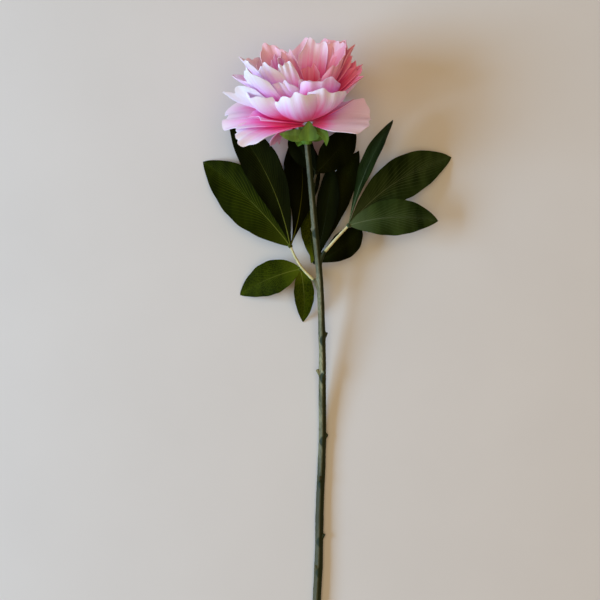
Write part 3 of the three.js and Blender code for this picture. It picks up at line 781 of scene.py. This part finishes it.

# A petal's turn is its place round the bloom's axis: 0 is to the right, 90 upwards, 180 to the
# left, and 270 towards the surface. root, middle and rim are how far it opens from the axis there.
# height is where its root stands on the axis, cup is how much it is rolled about its length, and
# ruffle and phase are the size and the place of its waves. shear leans it to the right as it
# rises, full is how far along it is full width, twist turns its rim, and skew slants it. tone is 0
# for the palest rim and 1 for the dustiest pink, which is partly dye and partly painted shade on
# the petals turned from the light. reach is how far the dye of the root has spread. Lengths are
# in millimetres, and angles in degrees.
petal_columns = (
    "turn", "length", "width", "root", "middle", "rim", "height", "cup", "ruffle", "phase",
    "shear", "full", "twist", "skew", "tone", "reach",
)
petal_layers = {
    "guard_petals": [
        (10, 51, 64, 88, 95, 106, 1, 12, 3.0, 0.4, 0, 0.45, -9, 0, 0.3, 0.5),
        (-52, 46, 50, 76, 88, 92, 1, 24, 2.2, 2.4, 0, 0.7, 0, 0, 0.6, 0.7),
        (182, 69, 60, 60, 76, 92, 1, 12, 4.2, 1.9, 0, 0.5, 6, 0, 0.05, 1.15),
        (150, 66, 35, 74, 82, 110, 1, 20, 3.4, 0.9, 0, 0.6, 20, 0, 0.05, 1.05),
        (150, 52, 26, 66, 66, 62, 2, 34, 2.8, 2.9, 0, 0.6, 12, 0, 0.0, 1.5),
        (212, 38, 26, 92, 122, 150, 1, 26, 2.0, 2.9, 0, 0.7, 0, 0, 0.4, 1.3),
        (246, 70, 48, 60, 76, 82, 1, 22, 1.6, 1.2, 0, 0.7, 0, 0, 0.4, 0.8),
        (278, 71, 50, 56, 72, 80, 1, 22, 1.6, 2.2, 0, 0.7, 0, 0, 0.4, 0.8),
        (308, 69, 48, 60, 76, 82, 1, 22, 1.6, 3.2, 0, 0.7, 0, 0, 0.5, 0.8),
    ],
    "cupped_petals": [
        (99, 64, 46, 66, 58, -4, 4, 74, 2.4, 0.6, 0, 0.7, 0, 0, 0.0, 1.12),
        (58, 57, 46, 67, 60, 8, 4, 66, 2.4, 2.4, 0, 0.7, 10, 0.16, 0.0, 1.12),
        (146, 66, 38, 62, 58, -2, 4, 78, 2.2, 0.2, -0.04, 0.68, 0, 0, 0.0, 1.1),
        (162, 71, 36, 59, 54, 34, 5, 26, 2.4, 2.9, -0.04, 0.62, -38, 0, 0.0, 0.8),
        (60, 51, 42, 57, 44, 14, 8, 46, 2.2, 1.3, 0.04, 0.65, 12, 0.10, 0.05, 1.3),
        (142, 74, 28, 56, 40, 12, 8, 50, 2.4, 0.9, -0.06, 0.65, 0, 0, 0.0, 1.05),
    ],
    "bowl_petals": [
        (180, 68, 44, 42, 50, 40, 8, 34, 3.0, 1.9, 0, 0.7, -10, 0, 0.1, 1.2),
        (214, 66, 44, 36, 42, 34, 8, 38, 3.0, 0.9, 0, 0.7, 0, 0, 0.5, 1),
        (250, 62, 44, 34, 38, 28, 8, 38, 3.0, 0.3, -0.1, 0.7, 0, 0, 0.6, 1),
        (286, 65, 44, 30, 34, 24, 8, 38, 3.0, 1.3, 0.12, 0.7, 0, 0, 0.8, 1),
        (316, 66, 44, 34, 38, 28, 8, 38, 3.0, 2.1, 0.1, 0.7, 0, 0, 1.0, 1),
        (342, 66, 40, 38, 42, 30, 8, 38, 2.8, 2.6, 0.05, 0.7, 0, 0, 1.0, 1.2),
        (354, 63, 26, 42, 46, 36, 8, 50, 2.4, 0.6, 0, 0.6, -20, 0, 0.9, 1.3),
        (2, 58, 26, 48, 54, 42, 8, 46, 2.4, 1.1, 0, 0.6, -34, 0, 0.9, 1.6),
        (12, 61, 26, 54, 58, 50, 8, 46, 2.4, 1.6, 0, 0.6, -30, 0, 0.8, 1.6),
    ],
    "small_petals": [
        (104, 48, 20, 50, 36, 14, 10, 40, 1.6, 1.1, -0.14, 0.6, 0, 0, 0.0, 1.1),
        (120, 49, 24, 50, 38, 6, 10, 50, 1.6, 2.2, -0.14, 0.6, 0, 0, 0.0, 1.1),
    ],
    "left_heart": [
        (118, 62, 23, 42, 24, 4, 10, 60, 1.6, 1.1, -0.22, 0.6, 0, 0, 0.0, 1.05),
        (102, 59, 18, 34, 24, 4, 10, 56, 1.6, 2.1, -0.08, 0.6, -10, 0, 0.0, 1.05),
        (170, 64, 28, 30, 24, 10, 10, 50, 2.0, 2.8, -0.22, 0.6, 0, 0, 0.0, 1.1),
        (250, 63, 28, 20, 18, 4, 10, 46, 2.0, 0.8, -0.2, 0.65, 0, 0, 0.7, 1.0),
        (300, 58, 26, 14, 18, 6, 10, 50, 2.0, 1.8, -0.3, 0.65, 0, 0, 0.7, 1.0),
    ],
    "right_heart": [
        (262, 62, 29, 22, 20, 4, 8, 44, 1.6, 1.4, 0.34, 0.7, 0, 0, 0.25, 1.1),
        (204, 58, 28, 26, 22, 0, 8, 56, 1.6, 2.4, 0.14, 0.7, 0, 0, 0.5, 1.1),
        (318, 60, 32, 28, 26, 14, 8, 44, 1.6, 0.4, 0.3, 0.7, 0, 0, 0.8, 1),
        (352, 58, 30, 28, 26, 8, 8, 50, 1.6, 1.0, 0.28, 0.7, 0, 0, 0.9, 1.25),
        (42, 52, 26, 36, 30, 10, 8, 50, 1.6, 2.0, 0.24, 0.6, 0, 0, 0.8, 1.2),
        (138, 46, 24, 30, 24, -6, 8, 60, 1.6, 0.2, 0.14, 0.6, 0, 0, 0.2, 1.1),
        (100, 43, 22, 36, 30, 4, 8, 66, 1.6, 0.2, 0.14, 0.6, 0, 0, 0.1, 1.1),
    ],
}
heart_rings = {
    # count, turn of the first, length, width, opening at root, middle and rim, height of the
    # roots and how far they stand out from the axis, cup, how much shorter than the middle ones
    # the upper petals are, shear, and tone
    "right_heart": (3, 30, 31, 18, (14, 18, -4), 12, 3, 60, 7, 0.3, 0.7),
    "left_heart": (3, 20, 46, 18, (8, 12, -6), 12, 2, 66, 4, -0.28, 0.3),
}


def draw(n):
    """The same draw for the same number, from -1 to 1."""
    x = math.sin(n * 12.9898) * 43758.5453
    return 2 * (x - math.floor(x)) - 1


def ring_petals(ring, row):
    """The closest petals inside a heart, each a little different."""
    count, first, length, width, opening, height, out, cup, taller, shear, tone = row
    made = []
    for k in range(count):
        seed = 10 * k + 1000 * ring + 7
        turn = first + 360 * k / count + 8 * draw(seed)
        opened = 6 * draw(seed + 1)
        made.append({
            "turn": turn,
            "length": length * (1 + 0.08 * draw(seed + 2)) - taller * math.sin(math.radians(turn)),
            "width": width * (1 + 0.12 * draw(seed + 3)),
            "opening": [angle + opened for angle in opening],
            "height": height,
            "out": out,
            "cup": cup * (1 + 0.2 * draw(seed + 4)),
            "ruffle": 2.4 + draw(seed + 5),
            "phase": math.pi * (1 + draw(seed + 6)),
            "lean": 10 * draw(seed + 7),
            "twist": 20 * draw(seed + 8),
            "notch": 0.04 * (1 + draw(seed + 9)),
            "skew": 0,
            "reach": 1.35,
            "shear": shear,
            "full": 0.75,
            "tone": tone + 0.2 * draw(seed + 9),
        })
    return made


def layer_petals(rows):
    """The petals of a layer, from their rows of the table."""
    made = []
    for row in rows:
        petal = dict(zip(petal_columns, row))
        petal["opening"] = (petal["root"], petal["middle"], petal["rim"])
        petal["notch"] = 0.07 + 0.05 * math.sin(5 * petal["phase"])
        petal["out"] = petal_root_out
        petal["lean"] = 0
        made.append(petal)
    return made


class Petal:
    """The form of a petal that opens from the bloom's axis, cupped and ruffled."""

    steps = 48

    def __init__(self, row):
        self.row = row
        turn = math.radians(row["turn"])
        self.outward = bloom_right * math.cos(turn) + bloom_upper * math.sin(turn)
        self.around = bloom_upper * math.cos(turn) - bloom_right * math.sin(turn)
        self.spine = [(row["out"], row["height"])]
        for k in range(self.steps):
            r, h = self.spine[-1]
            angle = self.open_at((k + 0.5) / self.steps)
            step = row["length"] / self.steps
            self.spine.append((r + math.sin(angle) * step, h + math.cos(angle) * step))

    def open_at(self, v):
        """How far it leans out from the bloom's axis at v of its length."""
        root, middle, rim = self.row["opening"]
        bend = (4 * middle - 3 * root - rim) * v + (2 * root - 4 * middle + 2 * rim) * v * v
        return math.radians(root + bend)

    def rim_at(self, u):
        """How much of its length it reaches at u across: round, notched and frilled."""
        phase = self.row["phase"]
        rim = 1 - 0.2 * abs(u) ** 2.8 + 0.03 * math.sin(5.3 * u + 2.1 * phase)
        rim += 0.021 * (math.sin(11 * u + 3.7 * phase) + 0.7 * math.sin(23 * u + 1.3 * phase))
        dip = max(0, 1 - abs(u - 0.25 * math.sin(phase)) / 0.28) ** 1.5
        return rim - self.row["notch"] * dip + self.row["skew"] * u

    def place(self, u, s):
        """Where a point of the sheet lies."""
        row = self.row
        v = s * self.rim_at(u)
        k = min(self.steps - 1, int(v * self.steps))
        part = v * self.steps - k
        (r0, h0), (r1, h1) = self.spine[k], self.spine[k + 1]
        r = r0 + (r1 - r0) * part
        h = h0 + (h1 - h0) * part
        swell = 0.26 + 0.74 * math.sin(min(v / row["full"], 1) * math.pi / 2) ** 1.1
        half = row["width"] / 2 * swell
        cup = math.radians(row["cup"]) * (0.35 + 0.65 * v)
        x = half * math.sin(cup * u) / cup
        n = half * (1 - math.cos(cup * u)) / cup
        # the broad waves, and the smaller ones close to the rim
        wave = math.sin(1.5 * math.pi * u + row["phase"]) * (0.45 + 0.55 * abs(u))
        n += row["ruffle"] * v**2.5 * wave
        n += 0.55 * row["ruffle"] * v**4 * math.sin(3.7 * math.pi * u + 2.3 * row["phase"])
        # the crease along the middle, and the pleats beside it
        n -= 0.05 * half * math.exp(-((u / 0.22) ** 2)) * v
        pleats = math.sin(9 * u + 5 * row["phase"]) + math.sin(17 * u + 2 * row["phase"])
        n += 0.013 * half * v * pleats
        twist = math.radians(row["twist"]) * v
        x, n = x * math.cos(twist) - n * math.sin(twist), x * math.sin(twist) + n * math.cos(twist)
        x += 0.6 * math.tan(math.radians(row["lean"])) * row["length"] * v * v
        opened = self.open_at(v)
        inward = bloom_axis * math.sin(opened) - self.outward * math.cos(opened)
        offset = (
            self.outward * r + bloom_axis * h + bloom_right * h * row["shear"]
            + self.around * x + inward * n
        )
        found = bloom_base + offset / 1000
        found.z = pressed(found.z * 1000) / 1000
        return found


def pressed(z):
    """A petal that would pass through the surface is bent to lie along it, in millimetres."""
    softness = 1.2
    lowest = 0.3
    well_above = 30
    if z > well_above:
        return z
    return lowest + softness * math.log1p(math.exp((z - lowest) / softness))


def petal_cloth():
    """Dyed cloth: deep pink at the root, streaked along its length, and pale at the rim. Its
    dustier pink is partly dye and partly painted shade. A painted glow stands in for the light
    that comes through the thin cloth and for the blue of its brightener."""
    material, tree, shader = new_material(
        "petal cloth", Roughness=0.7, Sheen_Weight=0.15, Emission_Strength=1.0
    )
    place = sheet_place(tree)
    tone = attribute(tree, "tone")

    def lengthwise(across, along, shift, detail):
        """Noise drawn out along the petal, and another for another tone."""
        point = add_node(tree, "CombineXYZ", {
            0: maths(tree, "MULTIPLY", place["X"], across),
            1: maths(tree, "MULTIPLY", place["Y"], along),
            2: maths(tree, "MULTIPLY", tone, shift),
        }).outputs[0]
        return add_node(tree, "TexNoise", {"Vector": point, "Scale": 1.0, "Detail": detail}).outputs[0]

    streaks = lengthwise(11.0, 1.3, 40.0, 3.0)
    depth = maths(tree, "DIVIDE", place["Y"], attribute(tree, "reach"))
    dyed = maths(tree, "MULTIPLY_ADD", maths(tree, "SUBTRACT", streaks, 0.5), 0.34, depth)
    pale = ramp(tree, dyed, [
        (0.00, (0.76, 0.004, 0.130)),
        (0.32, (0.88, 0.016, 0.220)),
        (0.44, (0.91, 0.100, 0.380)),
        (0.56, (0.91, 0.320, 0.620)),
        (0.68, (0.90, 0.560, 0.790)),
        (0.80, (0.91, 0.770, 0.880)),
        (0.94, (0.93, 0.900, 0.910)),
    ])
    # partly the cloth's dustier dye and partly painted shade, on the petals turned from the light
    dusty_and_shade_pink = ramp(tree, dyed, [
        (0.00, (0.40, 0.002, 0.012)),
        (0.28, (0.62, 0.012, 0.050)),
        (0.46, (0.78, 0.090, 0.150)),
        (0.68, (0.86, 0.290, 0.370)),
        (1.00, (0.91, 0.500, 0.570)),
    ])
    colour = blend(tree, tone, pale, dusty_and_shade_pink)
    tree.links.new(colour, shader.inputs["Base Color"])
    # painted glow: the cloth shines by itself, in place of the light through it and the blue of a
    # brightener
    painted_glow_pale = ramp(tree, dyed, [
        (0.00, (0.050, 0.000, 0.012)),
        (0.36, (0.065, 0.000, 0.024)),
        (0.52, (0.045, 0.000, 0.045)),
        (0.70, (0.022, 0.002, 0.072)),
        (1.00, (0.008, 0.008, 0.066)),
    ])
    painted_glow_dusty = (0.022, 0.003, 0.014)
    tree.links.new(blend(tree, tone, painted_glow_pale, painted_glow_dusty), shader.inputs["Emission Color"])
    crimp = lengthwise(38.0, 2.2, 23.0, 2.0)
    warp = maths(tree, "PINGPONG", maths(tree, "MULTIPLY", place["X"], 130.0), 1.0)
    weft = maths(tree, "PINGPONG", maths(tree, "MULTIPLY", place["Y"], 180.0), 1.0)
    height = maths(tree, "MULTIPLY_ADD", maths(tree, "MULTIPLY", warp, weft), 0.12, crimp)
    emboss(tree, shader, height, strength=0.35, distance=0.0006)
    return material


dyed_cloth = petal_cloth()


def add_petals(name, petals):
    """One layer of petals, as one piece."""
    cut = []
    for row in petals:
        petal = sheet("petal", 14, 18, Petal(row).place, petal_thickness, row["tone"])
        spread = petal.data.attributes.new("reach", "FLOAT", "POINT")
        spread.data.foreach_set("value", [row["reach"]] * len(petal.data.vertices))
        cut.append(petal)
    layer = join(name, cut)
    smooth(layer, 50)
    layer.data.materials.append(dyed_cloth)
    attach(layer, "root")
    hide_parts("bloom")


for name, rows in petal_layers.items():
    petals = layer_petals(rows)
    if name in heart_rings:
        petals += ring_petals(list(heart_rings).index(name), heart_rings[name])
    add_petals(name, petals)


# Surface and light
# A smooth pale cream board. A large soft window stands low on the left, and a warmer light falls
# from the ceiling.

bpy.ops.object.select_all(action="DESELECT")
bpy.ops.mesh.primitive_plane_add(size=6, location=(0, 0, 0))
board = bpy.context.object
board.name = "board"
board_paint, tree, shader = new_material("board paint", Roughness=0.85, Specular_IOR_Level=0.2)
marks = add_node(tree, "TexNoise", {
    "Vector": add_node(tree, "TexCoord").outputs["Object"], "Scale": 9.0, "Detail": 3.0,
})
cream = ramp(tree, marks.outputs[0], [(0.3, (0.69, 0.67, 0.65)), (0.7, (0.71, 0.69, 0.67))])
tree.links.new(cream, shader.inputs["Base Color"])
board.data.materials.append(board_paint)


def soft_light(name, place, width, depth, power, colour):
    """A soft light that faces the middle of the part."""
    bpy.ops.object.light_add(type="AREA", location=place)
    light = bpy.context.object
    light.name = name
    light.rotation_euler = (Vector((0, 0.1, 0)) - Vector(place)).to_track_quat("-Z", "Y").to_euler()
    light.data.shape = "RECTANGLE"
    light.data.size = width
    light.data.size_y = depth
    light.data.energy = power
    light.data.color = colour
    light.visible_camera = False


soft_light("window", (-2.15, -0.05, 1.1), 1.4, 0.9, 68, (0.43, 0.70, 1.0))
soft_light("ceiling", (0.0, 0.05, 2.6), 2.4, 2.4, 31, (1.0, 0.815, 0.49))

room = bpy.data.worlds.new("room")
room.use_nodes = True
walls = room.node_tree.nodes["Background"].inputs
walls["Color"].default_value = (1.0, 0.62, 0.38, 1)
walls["Strength"].default_value = 0.23
bpy.context.scene.world = room
bpy.context.scene.view_settings.view_transform = "Standard"
